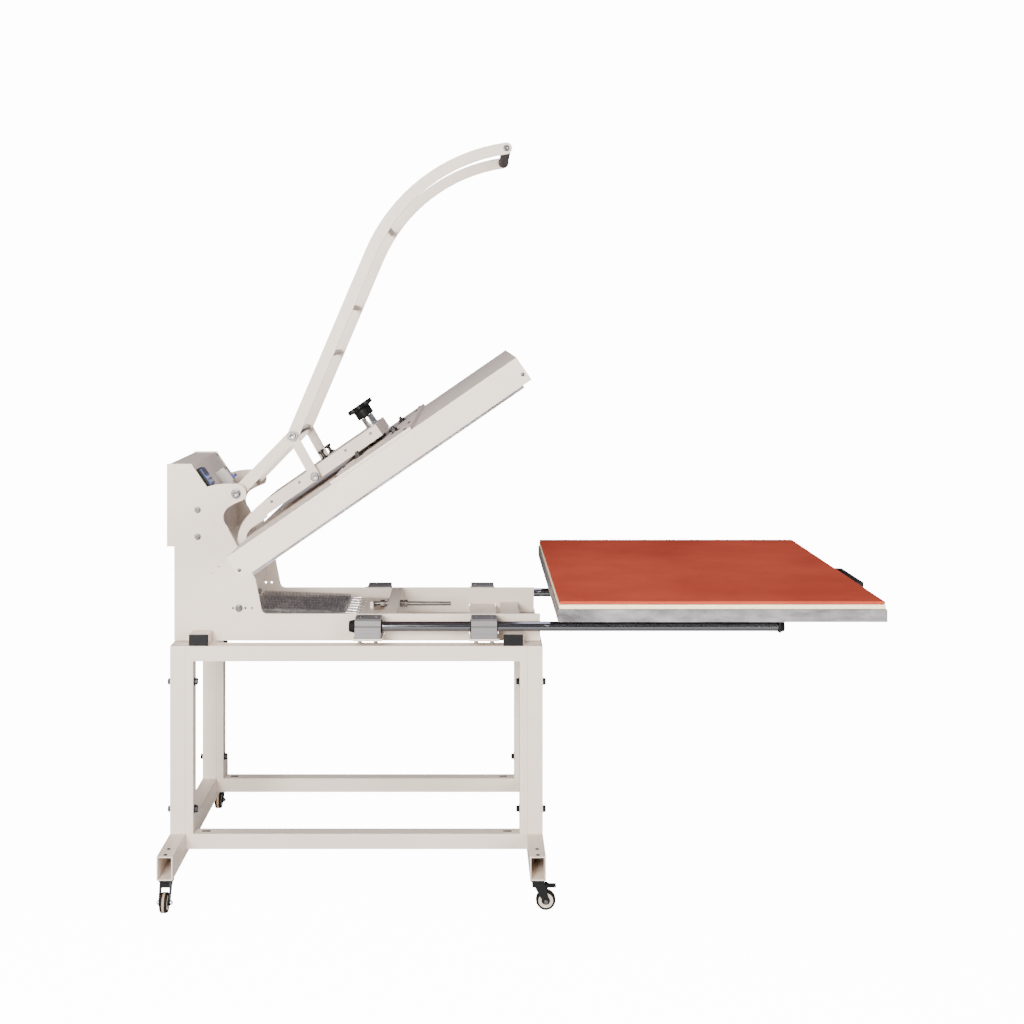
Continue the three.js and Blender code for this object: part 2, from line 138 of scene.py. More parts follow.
def make_floor():
    bpy.ops.mesh.primitive_plane_add(size=40, location=(0, 0, -0.0005))
    floor = bpy.context.object
    floor.name = "floor"
    material = bpy.data.materials.new("floor_white")
    material.use_nodes = True
    nodes, links = material.node_tree.nodes, material.node_tree.links
    shader = nodes["Principled BSDF"]
    shader.inputs["Base Color"].default_value = (0.55, 0.55, 0.55, 1)
    shader.inputs["Roughness"].default_value = 0.8
    glow = nodes.new("ShaderNodeMath")
    glow.operation = "MULTIPLY"
    glow.inputs[1].default_value = BACKDROP * 0.98
    ray = nodes.new("ShaderNodeLightPath")
    links.new(ray.outputs["Is Camera Ray"], glow.inputs[0])
    links.new(glow.outputs["Value"], shader.inputs["Emission Strength"])
    shader.inputs["Emission Color"].default_value = (1.0, 1.0, 1.0, 1)
    floor.data.materials.append(material)


make_camera()
make_world()
make_floor()
make_light("key", (-1.6, -4.2, 2.0), (0, 0, 1.0), 1.8, 470, (1.0, 0.975, 0.945))
make_light("fill", (2.6, -4.0, 1.4), (0.2, 0, 0.8), 2.0, 180, (1.0, 0.985, 0.965))
make_light("top", (0.6, 0.6, 4.6), (0.2, 0, 0.7), 2.6, 80, (0.82, 0.82, 1.0))


# ---- Materials ------------------------------------------------------------------------------------
def finish(name, color, roughness, metallic=0.0, mottle=0.05, mottle_scale=6.0, grain=900.0, bump=0.05,
           rough_vary=0.06, streak=None, dark=None, coat=0.0, sheen=0.0, specular=0.5):
    """A procedural finish: colour mottled towards dark, fine grain as bump, and varied roughness.

    streak stretches the grain, as brushing does; mottle is how far the colour wanders.
    """
    material = bpy.data.materials.new(name)
    material.use_nodes = True
    tree = material.node_tree
    nodes, links = tree.nodes, tree.links
    shader = nodes["Principled BSDF"]
    shader.inputs["Metallic"].default_value = metallic
    shader.inputs["Coat Weight"].default_value = coat
    shader.inputs["Sheen Weight"].default_value = sheen
    shader.inputs["Specular IOR Level"].default_value = specular

    place = nodes.new("ShaderNodeTexCoord")
    stretch = nodes.new("ShaderNodeMapping")
    stretch.inputs["Scale"].default_value = streak or (1, 1, 1)
    links.new(place.outputs["Object"], stretch.inputs["Vector"])

    cloud = nodes.new("ShaderNodeTexNoise")
    cloud.inputs["Scale"].default_value = mottle_scale
    cloud.inputs["Detail"].default_value = 5
    cloud.inputs["Roughness"].default_value = 0.6
    links.new(stretch.outputs["Vector"], cloud.inputs["Vector"])
    ramp = nodes.new("ShaderNodeValToRGB")
    low = dark or tuple(c * (1 - mottle) for c in color)
    high = tuple(min(1.0, c * (1 + mottle * 0.5)) for c in color)
    ramp.color_ramp.elements[0].position = 0.32
    ramp.color_ramp.elements[0].color = (*low, 1)
    ramp.color_ramp.elements[1].position = 0.68
    ramp.color_ramp.elements[1].color = (*high, 1)
    links.new(cloud.outputs["Fac"], ramp.inputs["Fac"])
    links.new(ramp.outputs["Color"], shader.inputs["Base Color"])

    spread = nodes.new("ShaderNodeMapRange")
    spread.inputs["To Min"].default_value = max(0.02, roughness - rough_vary)
    spread.inputs["To Max"].default_value = min(1.0, roughness + rough_vary)
    links.new(cloud.outputs["Fac"], spread.inputs["Value"])
    links.new(spread.outputs["Result"], shader.inputs["Roughness"])

    fine = nodes.new("ShaderNodeTexNoise")
    fine.inputs["Scale"].default_value = grain
    fine.inputs["Detail"].default_value = 3
    links.new(stretch.outputs["Vector"], fine.inputs["Vector"])
    relief = nodes.new("ShaderNodeBump")
    relief.inputs["Strength"].default_value = bump
    relief.inputs["Distance"].default_value = 0.0004
    links.new(fine.outputs["Fac"], relief.inputs["Height"])
    links.new(relief.outputs["Normal"], shader.inputs["Normal"])
    return material


FINISH = {
    "cream": finish("cream_powder_coat", (0.70, 0.60, 0.51), 0.42, mottle=0.03, grain=1500, bump=0.10,
                    specular=0.35),
    "zinc": finish("zinc_plate", (0.30, 0.283, 0.26), 0.3, 1.0, mottle=0.15, mottle_scale=40),
    "dark_steel": finish("dark_steel", (0.085, 0.08, 0.078), 0.33, 1.0, mottle=0.3, mottle_scale=60),
    "bolt_steel": finish("bolt_steel", (0.20, 0.19, 0.19), 0.26, 1.0, mottle=0.3, mottle_scale=80),
    # Painted reflection: one chrome in two tones. The sleeve's base is brightened to stand for bright
    # reflections, and the shaft's is darkened to stand for dark reflections.
    "sleeve": finish("chrome_painted_bright_reflection", (0.74, 0.73, 0.72), 0.2, 1.0, mottle=0.04, rough_vary=0.03,
                     bump=0.01),
    "chrome": finish("chrome_shaft", (0.22, 0.22, 0.23), 0.12, 1.0, mottle=0.04, rough_vary=0.03,
                     bump=0.01),
    "block": finish("block_aluminium", (0.205, 0.196, 0.200), 0.42, 0.4, mottle=0.06, grain=1800,
                    bump=0.12),
    "cloudy": finish("cloudy_aluminium", (0.29, 0.275, 0.28), 0.46, 0.85, mottle=0.5, mottle_scale=11,
                     dark=(0.13, 0.122, 0.128), streak=(1.0, 1.0, 2.6), grain=500, bump=0.15,
                     rough_vary=0.14),
    "heater": finish("heater_aluminium", (0.62, 0.60, 0.60), 0.38, 0.85, mottle=0.5, mottle_scale=8,
                     dark=(0.16, 0.15, 0.16), grain=600, bump=0.12, rough_vary=0.15),
    "black": finish("black_plastic", (0.004, 0.004, 0.0045), 0.42, mottle=0.25, grain=1400, bump=0.14,
                    specular=0.22),
    "black_steel": finish("black_oxide", (0.008, 0.008, 0.0085), 0.38, 0.2, mottle=0.3, mottle_scale=30,
                          specular=0.3),
    "rubber": finish("black_rubber", (0.006, 0.0058, 0.006), 0.7, mottle=0.2, grain=900, bump=0.3,
                     specular=0.15),
    "tread": finish("tan_tread", (0.42, 0.27, 0.16), 0.6, mottle=0.2, mottle_scale=60, bump=0.2),
    "wheel_ring": finish("cream_nylon", (0.62, 0.55, 0.44), 0.4, mottle=0.1, mottle_scale=50),
    "felt": finish("cream_felt", (1.0, 0.84, 0.58), 0.95, mottle=0.10, mottle_scale=60, grain=260,
                   bump=0.9, specular=0.1),
    "silicone": finish("red_silicone", (0.44, 0.070, 0.036), 0.85, mottle=0.2, mottle_scale=3.0,
                       dark=(0.37, 0.052, 0.027), grain=420, bump=0.3, rough_vary=0.06, specular=0.06),
    "foam": finish("grip_foam", (0.085, 0.075, 0.075), 0.9, mottle=0.3, mottle_scale=200,
                   grain=700, bump=0.8),
    "breaker": finish("breaker_grey", (0.50, 0.47, 0.44), 0.4, mottle=0.05, grain=1600, bump=0.08),
    "blue": finish("toggle_blue", (0.012, 0.028, 0.26), 0.32, mottle=0.1, grain=1500, bump=0.05,
                   coat=0.3),
    "panel_blue": finish("membrane_blue", (0.045, 0.085, 0.30), 0.3, mottle=0.08, coat=0.4, bump=0.04),
    "display": finish("display_window", (0.03, 0.008, 0.008), 0.08, mottle=0.2, coat=0.8, bump=0.0),
    "film": finish("blue_film", (0.30, 0.40, 0.58), 0.35, mottle=0.12, mottle_scale=9, coat=0.5,
                   bump=0.1),
    "blanket": finish("insulation", (0.62, 0.58, 0.48), 0.95, mottle=0.2, mottle_scale=40,
                      grain=300, bump=0.9),
    "spring": finish("spring_wire", (0.50, 0.485, 0.49), 0.3, 1.0, mottle=0.3, mottle_scale=90),
    # Painted shade: a near-black finish for thin pieces laid where holes and vents would show only shade
    # inside.
    "hole": finish("hole_shadow", (0.01, 0.01, 0.01), 0.9, mottle=0.1),
}


# ---- Mesh tools -----------------------------------------------------------------------------------
def finish_piece(obj, material, body, bevel=0.0, segments=2):
    """Gives a new piece its material, edges and body."""
    obj.data.materials.clear()
    obj.data.materials.append(FINISH[material])
    soften(obj, bevel, segments)
    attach(obj, body)
    return obj


def soften(obj, bevel, segments=2, angle=32):
    """Smooth shading across shallow angles, with a small bevel on the sharp edges."""
    if bevel:
        edge = obj.modifiers.new("edge", "BEVEL")
        edge.width = bevel * MM
        edge.segments = segments
        edge.limit_method = "ANGLE"
        edge.angle_limit = math.radians(angle)
        edge.harden_normals = True
    for polygon in obj.data.polygons:
        polygon.use_smooth = True
    obj.data.set_sharp_from_angle(angle=math.radians(angle))


def mesh_object(name, bm):
    bmesh.ops.recalc_face_normals(bm, faces=bm.faces)
    mesh = bpy.data.meshes.new(name)
    bm.to_mesh(mesh)
    bm.free()
    obj = bpy.data.objects.new(name, mesh)
    bpy.context.collection.objects.link(obj)
    return obj


def axes_for(direction):
    """A rotation that takes +Z to direction."""
    return Vector(direction).to_track_quat("Z", "Y").to_matrix().to_4x4()


def turned(radius, angle, height=0.0):
    """A point round the Z axis, from millimetres to metres."""
    return Vector((radius * MM * math.cos(angle), radius * MM * math.sin(angle), height * MM))


def skin(bm, rows):
    """Joins closed rows of points, and closes the first and the last."""
    for low, high in zip(rows, rows[1:]):
        for i in range(len(low)):
            j = (i + 1) % len(low)
            bm.faces.new((low[i], high[i], high[j], low[j]))
    bm.faces.new(rows[0])
    bm.faces.new(rows[-1])


def lathe(bm, profile, place, direction, steps=32):
    """Turns (radius, height) points, which start and end on the axis, about direction at place."""
    move = Matrix.Translation(place) @ axes_for(direction)
    rings = []
    for radius, height in profile:
        if radius == 0:
            rings.append([bm.verts.new(move @ Vector((0, 0, height * MM)))])
            continue
        rings.append([bm.verts.new(move @ turned(radius, 2 * math.pi * i / steps, height))
                      for i in range(steps)])
    for low, high in zip(rings, rings[1:]):
        for i in range(steps):
            j = (i + 1) % steps
            if len(low) == 1:
                bm.faces.new((low[0], high[i], high[j]))
            elif len(high) == 1:
                bm.faces.new((low[i], high[0], low[j]))
            else:
                bm.faces.new((low[i], high[i], high[j], low[j]))


def ring(bm, profile, place, direction, steps=32):
    """Turns a closed (radius, height) section that stays off the axis."""
    move = Matrix.Translation(place) @ axes_for(direction)
    rows = []
    for i in range(steps):
        angle = 2 * math.pi * i / steps
        rows.append([bm.verts.new(move @ turned(r, angle, h)) for r, h in profile])
    for i, row in enumerate(rows):
        after = rows[(i + 1) % steps]
        for k in range(len(profile)):
            m = (k + 1) % len(profile)
            bm.faces.new((row[k], after[k], after[m], row[m]))


def block(bm, low, high):
    """A box between two corners in the row frame."""
    size = high - low
    place = Matrix.Translation((low + high) / 2) @ Matrix.Diagonal((*size, 1))
    bmesh.ops.create_cube(bm, size=1, matrix=place)


def prism(bm, sides, radius, height, place, direction, turn=0.0):
    """A regular prism standing on place."""
    move = Matrix.Translation(place) @ axes_for(direction) @ Matrix.Rotation(turn, 4, "Z")
    angles = [2 * math.pi * i / sides for i in range(sides)]
    skin(bm, [[bm.verts.new(move @ turned(radius, angle, level)) for angle in angles]
              for level in (0, height)])


def socket_head(bm, place, direction, radius, height):
    """A socket cap head with a hollow hexagon drive, domed at its rim."""
    rim = radius - 1.2
    drive = radius * 0.5
    depth = height * 0.55
    lathe(bm, [(0, 0), (radius, 0), (radius, height - 1.4), (rim, height), (drive, height),
               (drive * 0.96, height - depth), (0, height - depth - 0.6)], place, direction, steps=24)


def hex_bolt(bm, place, direction, radius, height, washer=0.0):
    """A hexagon head, on a washer where one is asked for."""
    start = Vector(place)
    if washer:
        lathe(bm, [(0, 0), (washer, 0), (washer, 1.6), (0, 1.6)], start, direction, steps=28)
        start = start + Vector(direction) * 1.6 * MM
    prism(bm, 6, radius, height, start, direction, turn=0.3)


def group(name, builder, material, body, bevel=0.4):
    """Builds one piece from a function that fills a bmesh."""
    bm = bmesh.new()
    builder(bm)
    return finish_piece(mesh_object(name, bm), material, body, bevel)


# ---- Finishes of the frame's own pieces -----------------------------------------------------------
def dress(material, names, bevel):
    for name in names:
        obj = frame["nodes"][name]
        obj.data.materials.clear()
        obj.data.materials.append(FINISH[material])
        soften(obj, bevel)


def named(*starts):
    return [name for name in frame["nodes"] if name.startswith(starts)]


dress("cream", named("end_frame", "side_frame", "base_cross_tube", "bearing_bracket"), 2.2)
dress("cream", named("side_plate", "carrier_arm", "carrier_channel", "control_box", "rear_cover",
                     "handle_arm", "link_", "spring_beam", "spring_carriage", "handle_crossbar"), 0.9)
dress("cream", ["platen_cover", "platen_saddle"], 1.8)
dress("heater", ["heating_plate"], 1.2)
dress("blanket", ["platen_insulation"], 2.0)
dress("cloudy", ["table_plate"], 1.4)
dress("block", named("bearing_block"), 0.9)
dress("chrome", named("guide_shaft"), 1.2)
dress("black_steel", named("table_rail"), 1.2)
dress("black", ["drawer_handle"], 3.4)
dress("black", ["temperature_controller"], 1.2)
dress("breaker", ["circuit_breaker"], 1.2)
dress("blue", ["breaker_toggle"], 1.4)
dress("bolt_steel", ["handle_pivot_shaft", "lever_shaft", "carrier_pivot_shaft", "spring_bar"], 0.8)
dress("dark_steel", ["screw_nut"], 0.8)


# ---- Pad, felt and grip ---------------------------------------------------------------------------
def soft_slab(name, node, material, edge, dip, stray):
    """A soft slab in the place of its node: its top dips and its cut edges stray, both inwards only."""
    low, high = (Vector(corner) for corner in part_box(node))
    middle = (low + high) / 2
    bm = bmesh.new()
    bmesh.ops.create_cube(bm, size=1, matrix=Matrix.Translation(middle)
                          @ Matrix.Diagonal((*(high - low), 1)))
    level = [e for e in bm.edges if abs(e.verts[0].co.z - e.verts[1].co.z) < MM]
    bmesh.ops.subdivide_edges(bm, edges=level, cuts=36, use_grid_fill=True)
    for v in bm.verts:
        outward = Vector((round((v.co.x - middle.x) / (high.x - middle.x), 3),
                          round((v.co.y - middle.y) / (high.y - middle.y), 3)))
        wander = 0.5 + 0.5 * noise.noise(v.co * 7)
        for axis in (0, 1):
            if abs(outward[axis]) == 1:
                v.co[axis] -= outward[axis] * stray * MM * wander
        if v.co.z > middle.z:
            v.co.z -= dip * MM * (0.5 + 0.5 * noise.noise(Vector((v.co.x * 3, v.co.y * 3, 4.2))))
    slab = finish_piece(mesh_object(name, bm), material, "drawer", edge, 4)
    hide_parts(node)


soft_slab("pressing_felt", "table_felt", "felt", 2.4, 0.8, 1.8)
soft_slab("silicone_sheet", "silicone_pad", "silicone", 2.8, 0.7, 1.2)


# ---- Bolts of the linkage -------------------------------------------------------------------------
HANDLE_PIVOT = (2.6, 1021)
LEVER_END = (150.2, 1173)
LINK_END = (210.7, 1065)
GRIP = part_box("handle_grip")
TIP_X = ((GRIP[0][0] + GRIP[1][0]) / 2 - PIVOT.x) / MM
TIP_Z = (GRIP[0][2] + GRIP[1][2]) / 2 / MM


# How far out each pair of bolts starts, just clear of the face it sits on.
PLATE_FACE = 190.2
LEVER_FACE = 188.2
LINK_FACE = 182.2
HANDLE_FACE = 173.2


def pivot_bolts(name, body, place, face, radius, height, washer=13.5):
    """Socket heads on both sides of a pivot, each on a dark washer."""
    x, z = place

    def build(bm):
        for _, side in SIDES:
            out = ACROSS * side
            disc = [(0, 0), (washer, 0), (washer, 1.5), (0, 1.5)]
            lathe(bm, disc, at(x, side * face, z), out, steps=36)
            socket_head(bm, at(x, side * (face + 1.5), z), out, radius, height)
    group(name, build, "bolt_steel", body, 0.35)


pivot_bolts("handle_pivot_bolts", "frame", HANDLE_PIVOT, PLATE_FACE, 10, 7.5)
pivot_bolts("lever_bolts", "handle", LEVER_END, LEVER_FACE, 10.5, 5)
pivot_bolts("link_bolts", "links", LINK_END, LINK_FACE, 10.5, 7, washer=13)
pivot_bolts("grip_bolts", "handle", (TIP_X, TIP_Z), HANDLE_FACE, 7, 4.5, washer=8.5)


def tower_bolts(bm):
    for _, side in SIDES:
        for x, z, radius in ((-99, 978, 6), (-99, 907, 6), (10.4, 718, 7.5)):
            hex_bolt(bm, at(x, side * PLATE_FACE, z), ACROSS * side, radius, 4.5, washer=radius + 2.5)


group("tower_bolts", tower_bolts, "bolt_steel", "frame", 0.3)


# ---- Handle: crossbars ----------------------------------------------------------------------------
ARM_ANGLE = math.radians(67)
CROSSBAR_LENGTH = 329
CROSSBARS = (("lower", 236, 0, 0), ("upper", 612, 8, -4))


def crossbar(name, reach, ahead, rise):
    """A bar between the handle's arms, at a reach along them and a little off their line."""
    x = LEVER_END[0] + reach * math.cos(ARM_ANGLE) + ahead
    z = LEVER_END[1] + reach * math.sin(ARM_ANGLE) + rise
    profile = [(0, 0), (8, 0), (8, CROSSBAR_LENGTH), (0, CROSSBAR_LENGTH)]
    group(f"handle_crossbar_{name}",
          lambda bm: lathe(bm, profile, at(x, -CROSSBAR_LENGTH / 2, z), ACROSS, 28),
          "cream", "handle", 0.6)


for bar in CROSSBARS:
    crossbar(*bar)


def grip_collars(bm):
    for _, side in SIDES:
        start = at(TIP_X, side * 158, TIP_Z)
        ring(bm, [(13.7, 0), (15, 1), (15, 5.5), (13.7, 6.4)], start, ACROSS * side, 36)


def foam_grip(bm):
    """A foam sleeve with rounded ends, nipped in a little between its soft swells."""
    length = (GRIP[1][1] - GRIP[0][1]) / MM
    rows = 48
    body = [(13.1 + 0.35 * math.sin(i / rows * math.pi * 9) ** 2, 4 + (length - 8) * i / rows)
            for i in range(rows + 1)]
    profile = [(0, 0), (9.5, 0), (12.2, 1.2), *body, (12.2, length - 1.2), (9.5, length), (0, length)]
    lathe(bm, profile, at(TIP_X, GRIP[0][1] / MM, TIP_Z), ACROSS, 36)


grip = group("foam_grip", foam_grip, "foam", "handle", 0.0)
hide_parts("handle_grip")
group("grip_collars", grip_collars, "rubber", "handle", 0.0)

# ---- Pressure screw -------------------------------------------------------------------------------
SCREW_U = 502
LOBES = 6


def knob(bm):
    """A star knob: a lobed disc with a dished top, over a round hub."""
    move = Matrix.Translation(on_carrier(SCREW_U, 0, 0)) @ axes_for(CARRIER_UP)
    steps = 96

    def lobed(outer, inner, height):
        row = []
        for i in range(steps):
            angle = 2 * math.pi * i / steps
            swell = 0.5 + 0.5 * math.cos(LOBES * angle)
            radius = inner + (outer - inner) * swell ** 0.7
            row.append(bm.verts.new(move @ turned(radius, angle, height)))
        return row
    rows = [lobed(24, 23, 140), lobed(25, 24.4, 142), lobed(25, 24.4, 163), lobed(30, 27, 165),
            lobed(39.5, 32, 166), lobed(41, 33, 168), lobed(41, 33, 175.5), lobed(39, 31, 178.3),
            lobed(24, 23, 178.0), lobed(22, 21, 176.4)]
    skin(bm, rows)


star = group("star_knob", knob, "black", "pressure_knob", 0.0)
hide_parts("pressure_knob")


def threads(bm, place, direction, radius, length, pitch, steps=24):
    """A threaded rod: one helical ridge over a solid core."""
    turns = length / pitch
    count = int(turns * steps)
    move = Matrix.Translation(place) @ axes_for(direction)
    core = radius * 0.86
    lathe(bm, [(0, 0), (core, 0), (core, length), (0, length)], place, direction, steps)
    root, crest = pitch * 0.45, pitch * 0.08
    ridge = ((core - 0.2, -root), (radius, -crest), (radius, crest), (core - 0.2, root))
    rows = []
    for i in range(count + 1):
        angle = 2 * math.pi * i / steps
        height = min(max(pitch * i / steps, pitch * 0.5), length - pitch * 0.5)
        rows.append([bm.verts.new(move @ turned(r, angle, height + h)) for r, h in ridge])
    skin(bm, rows)


group("pressure_screw", lambda bm: threads(bm, on_carrier(SCREW_U, 0, 61), CARRIER_UP, 10, 80, 4),
      "zinc", "pressure_knob", 0.0)


def sleeve(bm):
    ring(bm, [(17.2, 110.3), (20, 110.3), (20, 113), (18.2, 114.5), (18.2, 137), (17.2, 139.4)],
         on_carrier(SCREW_U, 0, 0), CARRIER_UP, 48)


group("sleeve_chrome", sleeve, "sleeve", "carrier", 0.0)


SADDLE_TOP = 65.1
CHANNEL_TOP = 110.1
ARM_FACE = 163.1
COVER_FACE = 525.1


def foot_bolts(bm):
    """Four bolts on the saddle, round the foot of the screw."""
    reach = 34
    for u, y in ((-reach, 0), (reach, 0), (0, -reach), (0, reach)):
        hex_bolt(bm, on_carrier(SCREW_U + u, y, SADDLE_TOP), CARRIER_UP, 7, 6, washer=9)


group("screw_foot_bolts", foot_bolts, "dark_steel", "platen", 0.4)


def saddle_bolts(bm):
    """Four studs with nuts near the middle of the saddle, and small screws along its edges."""
    stud = [(0, 0), (5, 0), (5, 15), (4, 16), (0, 16)]
    for u in (446, 561):
        for y in (-200, 200):
            hex_bolt(bm, on_carrier(u, y, SADDLE_TOP), CARRIER_UP, 10, 8, washer=15)
            lathe(bm, stud, on_carrier(u, y, SADDLE_TOP + 0.1), CARRIER_UP, 16)
    for u in (404, 608):
        for y in (-485, -250, 250, 485):
            socket_head(bm, on_carrier(u, y, SADDLE_TOP), CARRIER_UP, 5, 2.6)


group("saddle_bolts", saddle_bolts, "dark_steel", "platen", 0.4)


def stop_bolts(bm):
    """Two spool-shaped stops for the handle, on the carrier's top plate."""
    spool = [(0, 0), (10, 0), (10, 3), (5.2, 6.5), (5.2, 17), (10, 20.5), (10, 24.5), (8.5, 26), (0, 26)]
    for y in (-90, 90):
        lathe(bm, spool, on_carrier(354, y, CHANNEL_TOP), CARRIER_UP, 28)


group("stop_bolts", stop_bolts, "dark_steel", "carrier", 0.4)


def channel_bolts(bm):
    for _, side in SIDES:
        for u in (180, 270, 420, 500):
            socket_head(bm, on_carrier(u, side * ARM_FACE, 98), ACROSS * side, 3.6, 2.2)


group("channel_screws", channel_bolts, "bolt_steel", "carrier", 0.3)


# ---- Platen: screws along the cover's skirt -------------------------------------------------------
def skirt_screws(bm):
    head = [(0, 0), (4.6, 0), (4.2, 1.6), (2.4, 2.6), (0, 2.8)]
    for _, side in SIDES:
        for u in (90, 920):
            lathe(bm, head, on_carrier(u, side * COVER_FACE, 14), ACROSS * side, 20)


group("skirt_screws", skirt_screws, "dark_steel", "platen", 0.0)


def cover_lip(bm):
    """The folded lip that stiffens the bottom of the cover, inside its skirt."""
    thickness = 1.6
    for _, side in SIDES:
        edge = [on_carrier(u, side * y, -7.8) for u, y in ((84, 522), (928, 522), (928, 506), (84, 506))]
        skin(bm, [[bm.verts.new(point + CARRIER_UP * level * MM) for point in edge]
                  for level in (0, thickness)])


group("cover_lips", cover_lip, "cream", "platen", 0.3)

# ---- Control box ----------------------------------------------------------------------------------
PANEL_TOP = (-118.5, 1097)
PANEL_FOOT = (-55, 1006)
PANEL_MID = ((PANEL_TOP[0] + PANEL_FOOT[0]) / 2, (PANEL_TOP[1] + PANEL_FOOT[1]) / 2)
DOWN = Vector((PANEL_FOOT[0] - PANEL_TOP[0], 0, PANEL_FOOT[1] - PANEL_TOP[1])).normalized()
OUT = Vector((-DOWN.z, 0, DOWN.x))


def on_panel(s, y, h):
    """A point s down the slanted panel, y across it and h proud of it."""
    return at(PANEL_MID[0], y, PANEL_MID[1]) + DOWN * s * MM + OUT * h * MM


def panel_slab(bm, s0, s1, y0, y1, h0, h1):
    """A block on the panel, between two places down it, across it and proud of it."""
    skin(bm, [[bm.verts.new(on_panel(s, y, h)) for s, y in ((s0, y0), (s1, y0), (s1, y1), (s0, y1))]
              for h in (h0, h1)])


def panel_piece(name, down, across, proud, material, bevel):
    group(name, lambda bm: panel_slab(bm, *down, *across, *proud), material, "frame", bevel)


panel_piece("controller_face", (-32, 18), (-166, -110), (9.1, 11.2), "panel_blue", 0.6)
panel_piece("controller_display", (-29, -13), (-162, -114), (11.3, 11.9), "display", 0.3)


def controller_keys(bm):
    for s in (-7, 5):
        for y in (-158, -145, -132, -119):
            panel_slab(bm, s, s + 7, y - 1, y + 7, 11.3, 12.2)


group("controller_keys", controller_keys, "breaker", "frame", 0.35)
panel_piece("controller_bezel", (-37, 23), (-171, -105), (0.2, 3.2), "black", 0.6)


def breaker_steps(bm):
    panel_slab(bm, 6, 40, 0.5, 35.5, 30.2, 33.5)
    panel_slab(bm, -3, 4, 4, 14, 30.2, 31.2)
    panel_slab(bm, -3, 4, 22, 32, 30.2, 31.2)


group("breaker_front", breaker_steps, "breaker", "frame", 0.8)


def breaker_terminals(bm):
    for y in (9, 27):
        lathe(bm, [(0, 0), (3.2, 0), (3.2, 0.8), (0, 0.8)], on_panel(0.5, y, 31.3), OUT, 16)


group("breaker_terminals", breaker_terminals, "bolt_steel", "frame", 0.0)


def panel_screws(bm):
    for s in (-48, 48):
        for y in (-176, 176):
            lathe(bm, [(0, 0), (4, 0), (3.4, 1.4), (1.6, 2.2), (0, 2.3)], on_panel(s, y, 0.1), OUT, 18)


group("panel_screws", panel_screws, "zinc", "frame", 0.0)

BOX_REAR = -181
FILM_FACE = BOX_REAR - 0.9
group("rear_cover_film",
      lambda bm: block(bm, at(FILM_FACE, -178, 889), at(BOX_REAR - 0.2, 178, 1092)),
      "film", "frame", 0.2)


def rear_screws(bm):
    head = [(0, 0), (4.5, 0), (4, 1.5), (2, 2.4), (0, 2.5)]
    for y in (-170, 0, 170):
        for z in (896, 1085):
            lathe(bm, head, at(FILM_FACE, y, z), -ALONG, 18)


group("rear_cover_screws", rear_screws, "zinc", "frame", 0.0)


def cable_gland(bm):
    """The inlet for the mains cable: a hexagon gland with a domed nut."""
    start = at(FILM_FACE, -90, 930)
    dome = [(0, 5), (11.5, 5), (11.5, 8), (9.5, 9.4), (7, 9.6), (6.4, 8.4), (0, 8.2)]
    prism(bm, 6, 14, 5, start, -ALONG)
    lathe(bm, dome, start, -ALONG, 28)


group("cable_gland", cable_gland, "black", "frame", 0.5)


def vent_shade_slots(bm):
    # Painted shade: thin near-black slots on the rear cover stand in for the shaded insides of the vents.
    for i in range(6):
        z = 950 + 16 * i
        block(bm, at(BOX_REAR - 1.3, 60, z), at(FILM_FACE, 150, z + 5))


group("rear_vent_shades", vent_shade_slots, "hole", "frame", 0.0)


# ---- Stand ----------------------------------------------------------------------------------------
STAND_REAR = -161
STAND_FRONT = 812
STAND_HALF = 245
STAND_TUBE = 40
POST_Y = STAND_HALF - STAND_TUBE / 2
FOOT_TOP = 140.05


def stand_bolts(bm):
    """Bolts through each end post into the side frame's short post, with nuts inside."""
    for face, out, inner in ((STAND_REAR, -ALONG, -100.6), (STAND_FRONT, ALONG, 751.6)):
        for y in (-POST_Y, POST_Y):
            for z in (533, 199):
                hex_bolt(bm, at(face, y, z) + out * 0.2 * MM, out, 9, 7, washer=11)
                hex_bolt(bm, at(inner, y, z), -out, 9, 7, washer=11)


group("stand_bolts", stand_bolts, "black_steel", "frame", 0.5)


def frame_hole_shades(bm):
    """Painted shade: thin near-black discs on top of the feet, over the casters, and slots on top of the
    lower rails, standing in for the shaded insides of holes.
    """
    deep = 0.4
    for x in (STAND_REAR + STAND_TUBE / 2, STAND_FRONT - STAND_TUBE / 2):
        for y in (-392, -352, 352, 392):
            lathe(bm, [(0, 0), (5, 0), (5, deep), (0, deep)], at(x, y, FOOT_TOP), UP, 20)
    for x in (-70, 720):
        for y in (-POST_Y, POST_Y):
            block(bm, at(x - 11, y - 4, FOOT_TOP), at(x + 11, y + 4, FOOT_TOP + deep))


group("frame_hole_shades", frame_hole_shades, "hole", "frame", 0.0)


def weld_beads(bm):
    """Small fillet welds where the end posts meet the feet."""
    bead = [(0, 0), (1.3, 0.6), (1.5, 3), (1.5, 31), (1.3, 33.4), (0, 34)]
    for x0 in (STAND_REAR, STAND_FRONT - STAND_TUBE):
        for y in (-STAND_HALF, -STAND_HALF + STAND_TUBE, STAND_HALF - STAND_TUBE, STAND_HALF):
            lathe(bm, bead, at(x0 + 3, y, 140.6), ALONG, 10)


group("weld_beads", weld_beads, "cream", "frame", 0.0)


def tube_caps(bm):
    """Plastic plugs in the ends of the base cross tubes."""
    for x0 in (-111, 710):
        for _, side in SIDES:
            y = sorted((side * 243.5, side * 248.5))
            block(bm, at(x0 - 0.3, y[0], 630.4), at(x0 + 50.3, y[1], 660.3))


group("tube_caps", tube_caps, "black", "frame", 1.6)


# ---- Guide blocks and shafts ----------------------------------------------------------------------
BLOCKS = ((323, 390), (625, 692))
BLOCK_Y = 235
SHAFT_Z = 679.5


